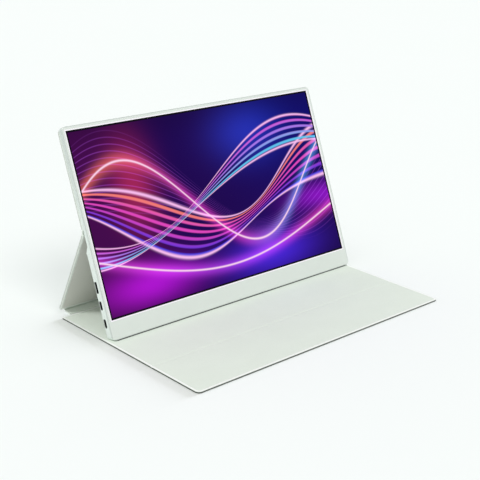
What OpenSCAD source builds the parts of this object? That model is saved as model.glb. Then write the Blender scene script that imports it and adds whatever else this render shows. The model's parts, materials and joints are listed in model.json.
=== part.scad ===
// Portable monitor that leans back on its folio cover, as it stands on a desk.
// Millimetres. X runs to the viewer's right, Y away from the viewer, Z up.
// The origin is the middle of the footprint, at desk level.
// Lengths across the screen run along X. In the monitor's own frame Y is the depth behind
// its front face and Z the height up from its lower edge. In a cover section's own frame
// Y runs away from the section's fold and Z towards the section's lining.

/* [Stand] */
// Backward lean of the screen from upright, in degrees
lean = 22.5; // [18:0.5:27]
// From the cover's front edge to the screen's lower front edge
foot_setback = 136.5; // [120:0.5:145]
// Height up the monitor's back of the fold that the strut hangs from
fold_height = 113.5; // [110:0.5:125]
// Rise of the spine from the desk towards the strut, in degrees
spine_rise = 12.5; // [8:0.5:20]
// Gap left between the monitor's rounded foot and the flap's lining
foot_gap = 0.1; // [0.05:0.05:0.3]

/* [Monitor case] */
// Width of the monitor
disp_w = 355.6; // [352:0.2:362]
// Height of the monitor
disp_h = 221; // [220:0.5:228]
// Depth of the thin upper part, screen side to back
upper_t = 5.6; // [5.4:0.1:7]
// Depth of the thick lower part, screen side to back
hump_t = 9.4; // [9.2:0.1:11]
// Height of the thick lower part
hump_top = 92; // [90:0.5:96]
// Height of the slope between the thick and the thin part
hump_ramp = 6; // [3:0.5:9]
// Radius of the case's corners seen from the front
corner_r = 5; // [3:0.5:8]
// Radius of the rounded lower back edge that the monitor stands on
foot_r = 8; // [6:0.5:8.5]
// Thickness of the case's side walls
side_wall = 1.4; // [1:0.1:1.8]
// Thickness of the case's back wall
rear_wall = 1.4; // [1:0.1:1.4]
// Width of the softened edge down the case's sides
edge_bevel = 0.8; // [0.4:0.1:1]
// Depth of the parting line between front frame and rear case
parting = 0.15; // [0.05:0.05:0.3]

/* [Screen] */
// Width of the front frame beside and above the screen
border = 4.4; // [4:0.1:8]
// Height of the front frame below the screen
chin_h = 20.4; // [20:0.1:24]
// Thickness of the front frame
bezel_t = 1.2; // [1:0.1:1.5]
// Depth of the frame's lip in front of the glass
lip_t = 0.7; // [0.6:0.05:0.8]
// Width of the small bevel round the opening
lip_bevel = 0.5; // [0.2:0.1:0.6]
// Width of the black strip round the picture
mask_w = 1.3; // [0.8:0.1:2]
// Thickness of the black strip round the picture
mask_t = 0.2; // [0.1:0.05:0.3]
// Reach of the glass beside the opening
glass_lap = 1.7; // [1.2:0.1:2]
// Reach of the glass below the opening
glass_drop = 4.4; // [3.8:0.1:4.6]
// Reach of the glass above the opening
glass_rise = 1.8; // [1.2:0.1:2]
// Thickness of the glass
glass_t = 0.9; // [0.7:0.05:1]
// Thickness of each optical film
film_t = 0.15; // [0.1:0.05:0.2]
// Thickness of the light guide
guide_t = 0.6; // [0.5:0.05:0.7]
// Thickness of the sheet steel tray
tray_t = 0.25; // [0.2:0.05:0.3]
// Height of the strip of light diodes under the light guide
led_h = 2.6; // [2.2:0.1:2.8]
// Number of light diodes
led_count = 40; // [20:1:48]

/* [Sockets and controls] */
// Height of the lowest socket's middle
socket_z = 18.6; // [18:0.1:20]
// Spacing of the sockets up the left side
socket_pitch = 18.8; // [18:0.1:19.4]
// Depth of the sockets' and buttons' middle behind the front face
socket_y = 6.2; // [6.1:0.05:6.3]
// Width of the small reversible sockets' shell
usb_w = 8.94; // [8.94:0.01:9]
// Height of the small reversible sockets' shell
usb_t = 3.26; // [3.2:0.01:3.3]
// Width of the picture signal socket's shell
hdmi_w = 11.2; // [11:0.1:11.4]
// Height of the picture signal socket's shell
hdmi_t = 3.2; // [3.1:0.05:3.26]
// Reach of the sockets into the case
socket_len = 7.4; // [7:0.1:8]
// Bore of the headphone socket
jack_bore = 3.6; // [3.55:0.05:3.7]
// Height of the headphone socket's middle
jack_z = 12; // [11.8:0.1:12.6]
// Height of the power button's middle
power_z = 37; // [36:0.5:38]
// Length of the power button
power_len = 10; // [8:0.5:11]
// Travel of the power button
power_travel = 0.5; // [0.3:0.05:0.5]
// Height of the menu rocker's middle
rocker_z = 58; // [57:0.5:59]
// Length of the menu rocker
rocker_len = 16; // [14:0.5:16.5]
// Width of the button faces
button_t = 3.2; // [2.8:0.1:3.2]
// Height of the button faces above the case's side
button_proud = 0.5; // [0.3:0.05:0.8]

/* [Cover] */
// Width of the front flap
flap_w = 358; // [354:0.5:362]
// Length of the flap, front edge to spine fold
flap_len = 221; // [214:0.5:224]
// Length of the flap's front section, up to its crease
front_len = 69.5; // [55:0.5:75]
// Width of the strut and the upper back panel
back_w = 350; // [344:0.5:356]
// Distance that the spine's ends stand in from the strut's
spine_inset = 6.75; // [3:0.25:12]
// Length of the spine, fold to fold
spine_len = 13.5; // [12:0.5:18]
// Sideways shift of the cover against the monitor
cover_shift = -3; // [-4:0.5:0]
// Radius of the flap's front corners
flap_corner_r = 5; // [2:0.5:10]
// Radius of the upper back panel's top corners
panel_corner_r = 5; // [3:0.5:10]
// From the upper back panel's top edge to the monitor's
panel_top_gap = 1; // [0.5:0.5:5]
// Thickness of the outer skin
skin_t = 0.5; // [0.4:0.05:0.6]
// Thickness of the lining
lining_t = 0.5; // [0.4:0.05:0.6]
// Stiffener board in the flap and the spine
flap_board_t = 1; // [0.8:0.05:1.1]
// Stiffener board in the strut
strut_board_t = 2; // [1.6:0.1:2]
// Stiffener board in the upper back panel
panel_board_t = 1.6; // [1.4:0.1:2.4]
// Width of the skin's turned edge round each board
rim_t = 0.8; // [0.6:0.1:1]
// Thickness of the soft strip in each fold
strip_t = 1.1; // [0.9:0.05:1.1]
// Half width of the flap's crease and of the strut's upper fold
crease_half = 3.2; // [3.2:0.1:4]
// Half width of the folds on both sides of the spine
spine_gap = 2.5; // [2.2:0.1:3]
// Distance from the lower fold to the strut's board
strut_gap = 3.4; // [3.2:0.1:4]
// Furthest that the flap's front section folds up, in degrees
flap_fold_max = 125; // [90:1:125]

/* [Fasteners and magnets] */
// Nominal diameter of the case screws
screw_d = 1.6; // [1.4:0.1:1.8]
// Diameter of the screw heads
head_d = 3; // [2.8:0.1:3.2]
// Thickness of the screw heads
head_t = 0.6; // [0.4:0.05:0.7]
// Length of the closing and strut magnets
magnet_len = 20; // [12:1:24]
// Width of the closing and strut magnets
magnet_w = 8; // [5:0.5:9]
// Diameter of the magnets in the monitor's back
disc_d = 10; // [6:0.5:12]
// Thickness of the magnets in the monitor's back
disc_t = 1; // [0.6:0.1:1.1]

/* [Hidden] */

$fn = 64;
eps = 0.01;             // overreach of a cutting shape
case_white = [0.87, 0.89, 0.87];
cover_pale = [0.84, 0.87, 0.83];
lining_pale = [0.86, 0.88, 0.85];
board_grey = [0.55, 0.55, 0.52];
steel = [0.72, 0.73, 0.74];
pcb_green = [0.10, 0.32, 0.20];
ink_black = [0.03, 0.03, 0.04];

// clearances
fit_clear = 0.05;       // piece dropped into a pocket
bore_clear = 0.02;      // shank in its hole, pin in its eye
hinge_clear = 0.05;     // round of a fold in its hollow
slide_clear = 0.1;      // button in its hole
rock_clear = 0.3;       // ends of the rocker in its hole
seat_gap = 0.3;         // loose piece beside what carries it

// stack of the display module, by depth
mask_y = lip_t - mask_t;
glass_y = lip_t;
prism_y = glass_y + glass_t;
diffuser_y = prism_y + film_t;
guide_y = diffuser_y + film_t;
reflector_y = guide_y + guide_t;
tray_y = reflector_y + film_t;
module_back = tray_y + tray_t;

// opening in the front frame, and the display module behind it
view_w = disp_w - 2*border;
view_top = disp_h - border;
view_h = view_top - chin_h;
glass_w = view_w + 2*glass_lap;
glass_z0 = chin_h - glass_drop;
glass_z1 = view_top + glass_rise;
led_z = glass_z0 + tray_t + fit_clear;
film_z0 = led_z + led_h + fit_clear;
film_z1 = glass_z1 - tray_t - fit_clear;
film_w = glass_w - 2*tray_t - 2*fit_clear;

// inside faces of the case
in_x = disp_w/2 - side_wall;
in_upper = upper_t - rear_wall;
in_hump = hump_t - rear_wall;

// boards: their back faces carry the sockets
board_t = 0.8;
board_back = socket_y - usb_t/2;
board_front = board_back - board_t;
driver_x0 = -in_x + seat_gap;
driver_w = 76;
driver_x1 = driver_x0 + driver_w;
driver_z0 = socket_z - 9;
driver_z1 = socket_z + 2*socket_pitch + 11;
side_board_gap = 3.4;
side_board_w = 23;
side_board_x1 = in_x - side_board_gap;
side_board_x0 = side_board_x1 - side_board_w;
side_board_z0 = jack_z - 4;
side_board_z1 = rocker_z + 10;
post_inset = 4;
shield_inset = 25;
shield_rise = 18;
shield_w = 35;
shield_h = 27;
shield_t = 1.7;
driver_posts = [
    [driver_x0 + 12, driver_z0 + post_inset], [driver_x0 + 12, driver_z1 - post_inset],
    [driver_x1 - post_inset, driver_z0 + post_inset], [driver_x1 - post_inset, driver_z1 - post_inset]
];
side_posts = [
    [side_board_x0 + post_inset, side_board_z0 + 14],
    [side_board_x0 + post_inset, side_board_z1 - post_inset]
];
board_posts = concat(driver_posts, side_posts);
post_r = 2;

// picture signal socket above the two small ones
hdmi_z = socket_z + 2*socket_pitch;

// switches on the side board: one behind the power button, two behind the rocker
rocker_arm = rocker_len*0.38;
switch_zs = [power_z, rocker_z - rocker_arm, rocker_z + rocker_arm];
plunger_x = side_board_x1 + 0.7;

// case screws run from the back into bosses on the front frame
screw_pitch = disp_w*0.12;
screw_xs = [for (i = [-2:3]) i*screw_pitch];
screw_r = screw_d/2;
head_r = head_d/2;
boss_r = screw_r + 1;
screw_z = glass_z0 - boss_r - 0.2;
boss_back = 6;
seat_floor_t = 1;
head_y = boss_back + seat_floor_t;
screw_tip = 2.6;

// timing board in the chin and its film connectors
timing_x0 = -disp_w*0.31;
timing_x1 = disp_w*0.225;
timing_y = glass_y + glass_t;
timing_t = 0.8;
timing_z0 = 4;
timing_z1 = screw_z - boss_r - 0.3;
flex_xs = [for (i = [-1.5:1.5]) i*screw_pitch];
flex_w = 14;
flex_t = 0.15;
plug_w = 16;
plug_x0 = -1.5*screw_pitch - plug_w/2;
plug_z0 = timing_z0 + 1;
plug_h = 4;

// ribbons lie level with the boards' back faces
ribbon_t = 0.3;
display_ribbon_w = 12;
display_ribbon_rise = 7.5;
display_ribbon_z = driver_z0 + display_ribbon_rise;
button_ribbon_w = 6;
button_ribbon_z = rocker_z - 1;

// speakers against the back wall of the thick part
speaker_w = 34;
speaker_h = 14;
speaker_t = 3.9;
speaker_x = in_x - 52.4;
speaker_z = driver_z1 + 3;
grille_slots = 9;
grille_pitch = 3.2;
slot_w = 1.2;
slot_h = 9;

// magnets in the back face steel plates in the cover's upper panel
disc_inset = 24.9;
disc_reach = back_w/2 - disc_inset;
disc_xs = [-disc_reach, 0, disc_reach];
disc_zs = [fold_height + 18, disp_h - 22];
plate_w = 16;
plate_t = 0.8;

// magnets in the cover, counted along each section from its fold
closing_xs = [for (i = [-1.5:1.5]) i*flap_w*0.28];
closing_y = front_len - 12;
foot_xs = [for (i = [-1.5:1.5]) i*flap_w*0.24];
foot_y = foot_setback - front_len + 8;
strut_xs = [for (i = [-1.5:1.5]) i*back_w*0.27];
strut_magnet_y = strut_gap + 14;

// headphone socket
jack_len = 11;
jack_t = in_hump - module_back - 2*fit_clear;
jack_y = (in_hump + module_back)/2;
jack_h = 6;
jack_nose_r = jack_bore/2 + 0.6;

// rocker's pin
pin_r = 0.6;
pin_x = in_x - 1.2;
ear_half = 1.8;
ear_reach = 1.4;
hub_t = 2;
ear_t = in_hump - socket_y - hub_t/2 - slide_clear;
rocker_reach = 0.45;
light_z = (power_z + rocker_z)/2 - 1.5;
light_r = 1;

// thickness of each cover section
flap_t = skin_t + flap_board_t + lining_t;
strut_t = skin_t + strut_board_t + lining_t;
panel_t = skin_t + panel_board_t + lining_t;
half_strip = strip_t/2;
rear_len = flap_len - front_len;

// height of the screen's lower front edge above the desk
foot_drop = foot_r - (foot_r*cos(lean) - (hump_t - foot_r)*sin(lean));
foot_z = flap_t + foot_gap + foot_drop;

// places of the folds, as [Y, Z] with Y counted from the screen's lower front edge
function on_monitor(y, z) = [y*cos(lean) + z*sin(lean), foot_z - y*sin(lean) + z*cos(lean)];
crease = [front_len - foot_setback, half_strip];
fold_a = [flap_len - foot_setback, half_strip];
fold_b = fold_a + spine_len*[cos(spine_rise), sin(spine_rise)];
fold_c = on_monitor(upper_t + panel_t - half_strip, fold_height);
strut_vec = fold_c - fold_b;
strut_len = norm(strut_vec);
strut_angle = atan2(strut_vec[1], strut_vec[0]);
panel_angle = 90 - lean;
panel_len = disp_h - panel_top_gap - fold_height;

// middle of the footprint
spine_w = back_w - 2*spine_inset;
x_low = min(-disp_w/2, cover_shift - flap_w/2);
x_high = max(disp_w/2, cover_shift + flap_w/2);
x_mid = (x_low + x_high)/2;
y_mid = (fold_b[0] + half_strip - foot_setback)/2;

// ---- frames ----

module on_desk() {
    translate([-x_mid, -y_mid, 0]) children();
}

module in_monitor() {
    on_desk() translate([0, 0, foot_z]) rotate([-lean, 0, 0]) children();
}

// frame of a cover section: Y runs away from its fold, Z towards its lining
module in_section(fold, angle) {
    on_desk() translate([cover_shift, fold[0], fold[1]]) rotate([angle, 0, 0]) children();
}

module in_flap_rear() {
    in_section(crease, 0) children();
}

module in_flap_front() {
    in_section(crease, 0) mirror([0, 1, 0]) children();
}

module in_spine() {
    in_section(fold_a, spine_rise) children();
}

module in_strut() {
    in_section(fold_b, strut_angle) children();
}

module in_back_panel() {
    in_section(fold_c, panel_angle) children();
}

// ---- general shapes ----

// box from its lowest to its highest corner
module block(low, high) {
    translate(low) cube(high - low);
}

// rectangle about X = 0 with four round corners
module round_rect(w, z0, z1, r) {
    translate([-w/2 + r, z0]) square([w - 2*r, z1 - z0]);
    translate([-w/2, z0 + r]) square([w, z1 - z0 - 2*r]);
    for (x = [-w/2 + r, w/2 - r], z = [z0 + r, z1 - r]) translate([x, z]) circle(r);
}

// extrudes a shape drawn in X and Z from depth y0 to y1
module deep(y0, y1) {
    translate([0, y1, 0]) rotate([90, 0, 0]) linear_extrude(y1 - y0) children();
}

// extrudes a shape drawn in Y and Z from x0 to x1
module across(x0, x1) {
    translate([x0, 0, 0]) rotate([90, 0, 90]) linear_extrude(x1 - x0) children();
}

// round bar along Y
module bar_y(x, z, r, y0, y1) {
    translate([x, y1, z]) rotate([90, 0, 0]) cylinder(r = r, h = y1 - y0);
}

// round bar along X
module bar_x(y, z, r, x0, x1) {
    translate([x0, y, z]) rotate([0, 90, 0]) cylinder(r = r, h = x1 - x0);
}

// pill drawn in Y and Z: length up the side, thickness along the depth
module pill(y, z, length, t) {
    translate([y - t/2, z - length/2 + t/2]) square([t, length - t]);
    for (s = [-1, 1]) translate([y, z + s*(length - t)/2]) circle(t/2);
}

// ---- monitor case ----

// outline of the rear case seen from the side, pulled in by a wall
module case_side(y0, rear_in, foot_in) {
    r = foot_r - foot_in;
    deep_y = hump_t - rear_in;
    difference() {
        union() {
            translate([y0, foot_in]) square([upper_t - rear_in - y0, disp_h - 2*foot_in]);
            polygon([
                [y0, foot_in], [deep_y, foot_in], [deep_y, hump_top],
                [upper_t - rear_in, hump_top + hump_ramp], [y0, hump_top + hump_ramp]
            ]);
        }
        translate([deep_y - r, foot_in]) difference() {
            translate([0, -eps]) square([r + eps, r + eps]);
            translate([0, r]) circle(r);
        }
    }
}

// outline seen from the front, pulled in by a wall
module case_face(inset) {
    round_rect(disp_w - 2*inset, inset, disp_h - inset, corner_r - inset);
}

// bevel along one side edge at depth y
module side_bevels(y, z0, z1) {
    for (s = [-1, 1])
        translate([s*disp_w/2, y, z0]) rotate([0, 0, 45])
            translate([-edge_bevel/sqrt(2), -edge_bevel/sqrt(2), 0])
                cube([sqrt(2)*edge_bevel, sqrt(2)*edge_bevel, z1 - z0]);
}

module case_hollow() {
    intersection() {
        across(-in_x - eps, in_x + eps) case_side(bezel_t - eps, rear_wall, side_wall);
        deep(0, hump_t) case_face(side_wall);
    }
}

// slots in the side walls for sockets, buttons and the light
module side_cuts() {
    for (i = [0, 1]) across(-disp_w/2 - eps, -in_x + eps)
        pill(socket_y, socket_z + i*socket_pitch, usb_w + 2*fit_clear, usb_t + 2*fit_clear);
    block([-disp_w/2 - eps, socket_y - hdmi_t/2 - fit_clear, hdmi_z - hdmi_w/2 - fit_clear],
          [-in_x + eps, socket_y + hdmi_t/2 + fit_clear, hdmi_z + hdmi_w/2 + fit_clear]);
    across(in_x - eps, disp_w/2 + eps)
        pill(socket_y, power_z, power_len + 2*slide_clear, button_t + 2*slide_clear);
    across(in_x - eps, disp_w/2 + eps)
        pill(socket_y, rocker_z, rocker_len + 2*rock_clear, button_t + 2*slide_clear);
    bar_x(socket_y, light_z, light_r + bore_clear, in_x - eps, disp_w/2 + eps);
    bar_x(jack_y, jack_z, jack_nose_r + bore_clear, in_x - eps, disp_w/2 + eps);
}

// rows of slots in front of each speaker
module grilles() {
    for (s = [-1, 1], i = [0:grille_slots - 1]) {
        x = s*speaker_x + (i - (grille_slots - 1)/2)*grille_pitch;
        z = speaker_z + (speaker_h - slot_h)/2;
        block([x - slot_w/2, in_hump - eps, z], [x + slot_w/2, hump_t + eps, z + slot_h]);
    }
}

// ears that hold the rocker's pin, grown from the right wall
module rocker_ears() {
    rear_ear_y = socket_y + hub_t/2 + slide_clear;
    front_ear_y = socket_y - hub_t/2 - slide_clear - ear_t;
    for (y = [front_ear_y, rear_ear_y])
        difference() {
            block([pin_x - ear_reach, y, rocker_z - ear_half],
                  [in_x + eps, y + ear_t, rocker_z + ear_half]);
            bar_y(pin_x, rocker_z, pin_r + bore_clear, y - eps, y + ear_t + eps);
        }
}

module rear_case() {
    color(case_white) in_monitor() {
        difference() {
            union() {
                difference() {
                    intersection() {
                        across(-disp_w/2, disp_w/2) case_side(bezel_t, 0, 0);
                        deep(0, hump_t + 1) case_face(0);
                    }
                    case_hollow();
                    side_bevels(hump_t, corner_r, hump_top - edge_bevel);
                    side_bevels(upper_t, hump_top + hump_ramp, disp_h - corner_r);
                    // parting line beside the front frame
                    deep(bezel_t - eps, bezel_t + parting) difference() {
                        case_face(-eps);
                        case_face(parting);
                    }
                }
                for (x = screw_xs) bar_y(x, screw_z, head_r + 1, boss_back, in_hump + eps);
                for (p = board_posts) bar_y(p[0], p[1], post_r, board_back, in_hump + eps);
                rocker_ears();
            }
            side_cuts();
            grilles();
            for (x = screw_xs) {
                bar_y(x, screw_z, head_r + fit_clear, head_y, hump_t + eps);
                bar_y(x, screw_z, screw_r + bore_clear, boss_back - eps, head_y + eps);
            }
            for (p = board_posts) bar_y(p[0], p[1], screw_r + bore_clear, board_back - eps, in_hump);
        }
    }
}

// bevel round the opening, mitred at its corners
module opening_bevel() {
    top = lip_bevel + eps;
    mid_z = chin_h + view_h/2;
    intersection() {
        translate([0, 0, chin_h - 1]) linear_extrude(view_h + 2) polygon([
            [-view_w/2 - top, -eps], [view_w/2 + top, -eps],
            [view_w/2 - eps, top], [-view_w/2 + eps, top]
        ]);
        translate([0, 0, mid_z]) across(-view_w/2 - 1, view_w/2 + 1) polygon([
            [-eps, -view_h/2 - top], [top, -view_h/2 + eps],
            [top, view_h/2 - eps], [-eps, view_h/2 + top]
        ]);
    }
}

module front_bezel() {
    color(case_white) in_monitor() difference() {
        union() {
            deep(0, bezel_t) case_face(0);
            for (x = screw_xs) bar_y(x, screw_z, boss_r, bezel_t - eps, boss_back);
        }
        block([-view_w/2, -eps, chin_h], [view_w/2, bezel_t + eps, view_top]);
        block([-glass_w/2 - fit_clear, lip_t, glass_z0 - fit_clear],
              [glass_w/2 + fit_clear, bezel_t + eps, glass_z1 + fit_clear]);
        opening_bevel();
        for (x = screw_xs) bar_y(x, screw_z, screw_r + bore_clear, screw_tip - seat_gap, boss_back + eps);
    }
}

// ---- display module ----

module bezel_gasket() {
    color(ink_black) in_monitor() difference() {
        block([-view_w/2 + fit_clear, mask_y, chin_h + fit_clear],
              [view_w/2 - fit_clear, glass_y, view_top - fit_clear]);
        block([-view_w/2 + mask_w, mask_y - eps, chin_h + mask_w],
              [view_w/2 - mask_w, glass_y + eps, view_top - mask_w]);
    }
}

module lcd_cell() {
    color([0.14, 0.05, 0.30]) in_monitor()
        block([-glass_w/2, glass_y, glass_z0], [glass_w/2, prism_y, glass_z1]);
}

// one sheet of the stack behind the glass
module film(y, t) {
    in_monitor() block([-film_w/2, y, film_z0], [film_w/2, y + t, film_z1]);
}

module prism_film() {
    color([0.85, 0.87, 0.9]) film(prism_y, film_t);
}

module diffuser_film() {
    color([0.92, 0.93, 0.93]) film(diffuser_y, film_t);
}

module light_guide() {
    color([0.75, 0.85, 0.9]) film(guide_y, guide_t);
}

module reflector_sheet() {
    color([0.95, 0.95, 0.95]) film(reflector_y, film_t);
}

module led_strip() {
    pitch = film_w/led_count;
    led_w = pitch*0.4;
    color([0.9, 0.85, 0.5]) in_monitor() {
        block([-film_w/2, guide_y, led_z], [film_w/2, guide_y + film_t, led_z + led_h]);
        for (i = [0:led_count - 1]) {
            x = (i - (led_count - 1)/2)*pitch;
            block([x - led_w/2, guide_y + film_t - eps, led_z + led_h/2],
                  [x + led_w/2, guide_y + guide_t, led_z + led_h]);
        }
    }
}

module panel_tray() {
    color(steel) in_monitor() difference() {
        block([-glass_w/2, prism_y, glass_z0], [glass_w/2, module_back, glass_z1]);
        block([-glass_w/2 + tray_t, prism_y - eps, glass_z0 + tray_t],
              [glass_w/2 - tray_t, tray_y, glass_z1 - tray_t]);
    }
}

module panel_tapes() {
    tape_w = 5;
    tape_z0 = hump_top + hump_ramp + 6;
    color([0.2, 0.2, 0.2]) in_monitor() for (s = [-1, 1])
        translate([s*(glass_w/2 - 2*tape_w), 0, 0])
            block([-tape_w/2, module_back, tape_z0], [tape_w/2, in_upper, glass_z1 - tape_w]);
}

module timing_board() {
    color(pcb_green) in_monitor() {
        block([timing_x0, timing_y, timing_z0], [timing_x1, timing_y + timing_t, timing_z1]);
        block([plug_x0, timing_y + timing_t - eps, plug_z0],
              [plug_x0 + plug_w, board_back, plug_z0 + plug_h]);
    }
}

module source_flexes() {
    color([0.75, 0.5, 0.15]) in_monitor() for (x = flex_xs)
        block([x - flex_w/2, timing_y - flex_t, timing_z1 - 2], [x + flex_w/2, timing_y, glass_z0]);
}

// ---- boards and what they carry ----

module board_holes(posts) {
    for (p = posts) bar_y(p[0], p[1], screw_r + bore_clear, board_front - eps, board_back + eps);
}

module driver_board() {
    color(pcb_green) in_monitor() difference() {
        block([driver_x0, board_front, driver_z0], [driver_x1, board_back, driver_z1]);
        board_holes(driver_posts);
    }
}

module board_chips() {
    // each chip: middle across and up from the board's corner, width, height, thickness
    chips = [
        [42, 31, 14, 14, 1.2], [55, 40, 5, 5, 0.9], [55, 24, 6, 5, 1], [29, 23, 5, 4, 0.9],
        [18, 37, 6, 6, 2.4], [18, 18, 6, 6, 2.4], [26, 50, 4, 3, 0.8], [64, 51, 7, 4, 1.8]
    ];
    color([0.12, 0.12, 0.13]) in_monitor() translate([driver_x0, board_back, driver_z0])
        for (c = chips)
            block([c[0] - c[2]/2, 0, c[1] - c[3]/2], [c[0] + c[2]/2, c[4], c[1] + c[3]/2]);
}

module board_shield() {
    wall = 0.25;
    low = [driver_x0 + shield_inset, board_back, driver_z0 + shield_rise];
    high = low + [shield_w, shield_t, shield_h];
    color(steel) in_monitor() difference() {
        block(low, high);
        block([low[0] + wall, low[1] - eps, low[2] + wall], high - [wall, wall, wall]);
    }
}

// small reversible socket: shell, tongue and back, its mouth to the left
module usb_socket(z) {
    shell_t = 0.3;
    x0 = -disp_w/2 + seat_gap;
    x1 = x0 + socket_len;
    color(steel) in_monitor() {
        difference() {
            across(x0, x1) pill(socket_y, z, usb_w, usb_t);
            across(x0 - eps, x1 - 1.2) pill(socket_y, z, usb_w - 2*shell_t, usb_t - 2*shell_t);
        }
        block([x0 + 0.8, socket_y - 0.35, z - 3.3], [x1 - 1, socket_y + 0.35, z + 3.3]);
    }
}

module usb_c_socket_lower() {
    usb_socket(socket_z);
}

module usb_c_socket_upper() {
    usb_socket(socket_z + socket_pitch);
}

module mini_hdmi_socket() {
    shell_t = 0.3;
    x0 = -disp_w/2 + seat_gap;
    x1 = x0 + socket_len;
    y0 = board_back;
    y1 = y0 + hdmi_t;
    half_w = hdmi_w/2;
    color(steel) in_monitor() {
        difference() {
            block([x0, y0, hdmi_z - half_w], [x1, y1, hdmi_z + half_w]);
            block([x0 - eps, y0 + shell_t, hdmi_z - half_w + shell_t],
                  [x1 - 1.2, y1 - shell_t, hdmi_z + half_w - shell_t]);
        }
        block([x0 + 0.8, y0 + hdmi_t/2 - 0.3, hdmi_z - half_w + 1.4],
              [x1 - 1, y0 + hdmi_t/2 + 0.3, hdmi_z + half_w - 1.4]);
    }
}

module audio_jack() {
    x1 = in_x - fit_clear;
    color([0.1, 0.1, 0.1]) in_monitor() difference() {
        union() {
            block([x1 - jack_len, jack_y - jack_t/2, jack_z - jack_h/2],
                  [x1, jack_y + jack_t/2, jack_z + jack_h/2]);
            bar_x(jack_y, jack_z, jack_nose_r, x1 - eps, disp_w/2 - seat_gap);
        }
        bar_x(jack_y, jack_z, jack_bore/2, x1 - jack_len + 1, disp_w/2);
    }
}

module button_board() {
    notch_x = in_x - fit_clear - jack_len - fit_clear;
    color(pcb_green) in_monitor() difference() {
        block([side_board_x0, board_front, side_board_z0], [side_board_x1, board_back, side_board_z1]);
        block([notch_x, board_front - eps, side_board_z0 - eps],
              [side_board_x1 + eps, board_back + eps, jack_z + jack_h/2 + fit_clear]);
        board_holes(side_posts);
    }
}

module tact_switches() {
    color([0.25, 0.25, 0.25]) in_monitor() for (z = switch_zs) {
        block([side_board_x1 - 3, board_back, z - 2.2], [side_board_x1, socket_y + 1.4, z + 2.2]);
        bar_x(socket_y, z, 0.7, side_board_x1 - eps, plunger_x);
    }
}

module power_button() {
    flange_x = in_x - slide_clear;
    stem_x = plunger_x + power_travel + slide_clear;
    color([0.80, 0.82, 0.80]) in_monitor() {
        across(flange_x - eps, disp_w/2 + button_proud) pill(socket_y, power_z, power_len, button_t);
        block([flange_x - 0.8, socket_y - button_t/2, power_z - power_len/2 - 1.2],
              [flange_x, socket_y + button_t/2, power_z + power_len/2 + 1.2]);
        bar_x(socket_y, power_z, 1, stem_x, flange_x - 0.8 + eps);
    }
}

module menu_rocker() {
    face_x = in_x + 0.25;
    hub_half = 1.2;
    pin_half = hub_t/2 + slide_clear + ear_t - 0.1;
    color([0.80, 0.82, 0.80]) in_monitor() {
        across(face_x, disp_w/2 + button_proud) pill(socket_y, rocker_z, rocker_len, button_t);
        block([pin_x - 1, socket_y - hub_t/2, rocker_z - hub_half],
              [face_x + eps, socket_y + hub_t/2, rocker_z + hub_half]);
        bar_y(pin_x, rocker_z, pin_r, socket_y - pin_half, socket_y + pin_half);
        for (s = [-1, 1])
            bar_x(socket_y, rocker_z + s*rocker_arm, 0.8,
                  plunger_x + rocker_reach + slide_clear, face_x + eps);
    }
}

module status_light_pipe() {
    color([0.8, 0.9, 0.95]) in_monitor() {
        bar_x(socket_y, light_z, light_r, side_board_x1 + 0.2, disp_w/2);
        bar_x(socket_y, light_z, light_r + 0.6, side_board_x1 + 0.2, in_x - fit_clear);
    }
}

module speaker(s) {
    color([0.15, 0.15, 0.16]) in_monitor()
        block([s*speaker_x - speaker_w/2, in_hump - speaker_t, speaker_z],
              [s*speaker_x + speaker_w/2, in_hump, speaker_z + speaker_h]);
}

module speaker_left() {
    speaker(-1);
}

module speaker_right() {
    speaker(1);
}

module display_ribbon() {
    plug_x1 = plug_x0 + plug_w - 2;
    color([0.9, 0.9, 0.88]) in_monitor() {
        block([driver_x1 - 3, board_back, display_ribbon_z],
              [plug_x1, board_back + ribbon_t, display_ribbon_z + display_ribbon_w]);
        block([plug_x1 - display_ribbon_w, board_back, plug_z0 + 1],
              [plug_x1, board_back + ribbon_t, display_ribbon_z + eps]);
    }
}

module button_ribbon() {
    color([0.9, 0.9, 0.88]) in_monitor()
        block([driver_x1 - 3, board_back, button_ribbon_z - button_ribbon_w/2],
              [side_board_x0 + 3, board_back + ribbon_t, button_ribbon_z + button_ribbon_w/2]);
}

module screw(x, z, y_tip, y_seat, s) {
    bar_y(x, z, screw_r, min(y_tip, y_seat), max(y_tip, y_seat));
    bar_y(x, z, head_r, min(y_seat, y_seat + s*head_t), max(y_seat, y_seat + s*head_t));
}

module case_screws() {
    color(steel) in_monitor() for (x = screw_xs) screw(x, screw_z, screw_tip, head_y, 1);
}

module board_screws() {
    color(steel) in_monitor() for (p = board_posts) screw(p[0], p[1], in_hump - 0.4, board_front, -1);
}

module back_magnets() {
    color(steel) in_monitor() for (x = disc_xs, z = disc_zs)
        bar_y(x + cover_shift, z, disc_d/2, in_upper - disc_t, in_upper);
}

// ---- cover ----

// flat outline of a section from y0 to y1, with round corners at its far end
module sheet(w, y0, y1, r) {
    translate([-w/2, y0]) square([w, y1 - y0 - r]);
    if (r > 0) {
        translate([-w/2 + r, y0]) square([w - 2*r, y1 - y0]);
        for (s = [-1, 1]) translate([s*(w/2 - r), y1 - r]) circle(r);
    }
}

// outer skin of a section: flat base with its edges turned up round the board
module skin_tray(w, y0, y1, t, r) {
    difference() {
        translate([0, 0, -half_strip]) linear_extrude(t) sheet(w, y0, y1, r);
        translate([0, 0, skin_t - half_strip]) linear_extrude(t)
            sheet(w - 2*rim_t, y0 + rim_t, y1 - rim_t, max(r - rim_t, 0));
    }
}

// layer that lies inside the turned edges
module layer(w, y0, y1, z, t, r) {
    in = rim_t + fit_clear;
    translate([0, 0, z - half_strip]) linear_extrude(t)
        sheet(w - 2*in, y0 + in, y1 - in, max(r - in, 0));
}

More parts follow.
